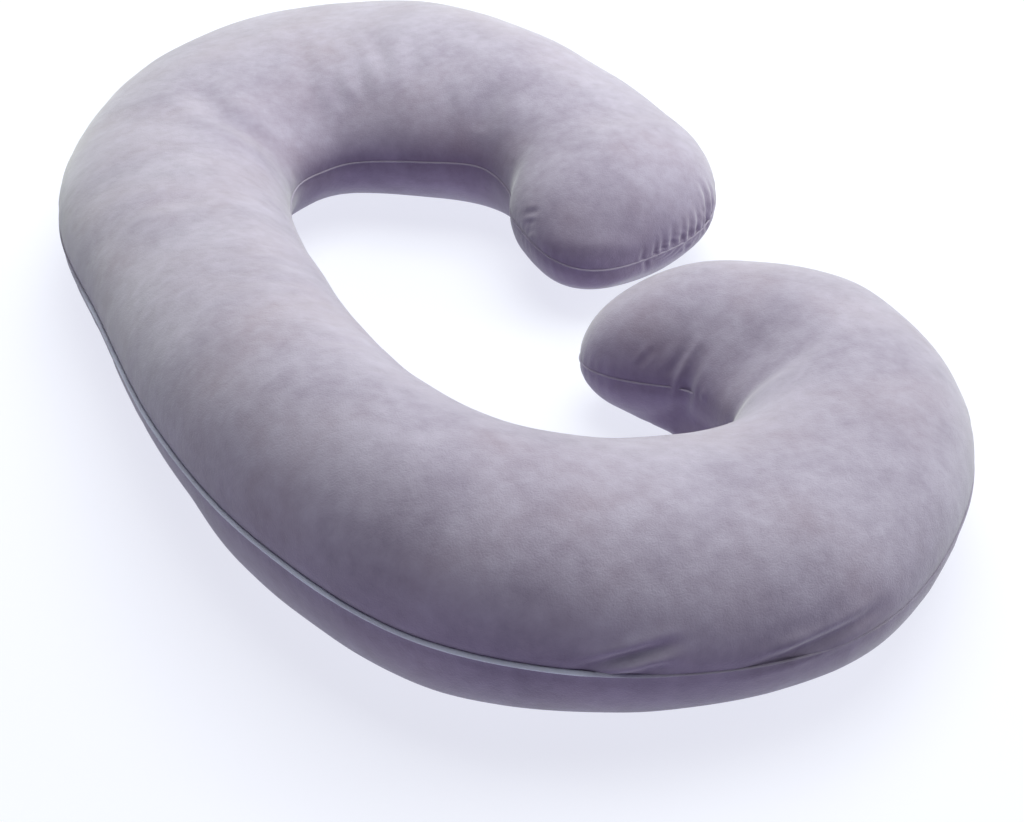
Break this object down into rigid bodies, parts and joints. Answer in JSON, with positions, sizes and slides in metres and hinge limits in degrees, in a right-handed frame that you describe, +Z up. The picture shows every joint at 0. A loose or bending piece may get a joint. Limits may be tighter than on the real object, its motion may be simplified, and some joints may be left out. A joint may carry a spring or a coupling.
{
  "type": "pregnancy pillow",
  "caption": "C-shaped stuffed body pillow in velour, its lower arm curled inwards, with a raised seam welt round its rim at mid height.",
  "frame": {"origin": "middle of the footprint, at the level of the surface it lies on", "axes": "+Z up, +Y along the length towards the upper arm, +X from the spine towards the open side between the arms"},
  "size_m": [0.7912, 1.4472, 0.225],
  "materials": {
    "velour_cover": "short-pile velour, greyish lavender",
    "velour_welt": "short-pile velour turned over the seam, paler on its ridge"
  },
  "bodies": {
    "root": {"cushion": "velour_cover", "seam_welt": "velour_welt"}
  },
  "joints": []
}
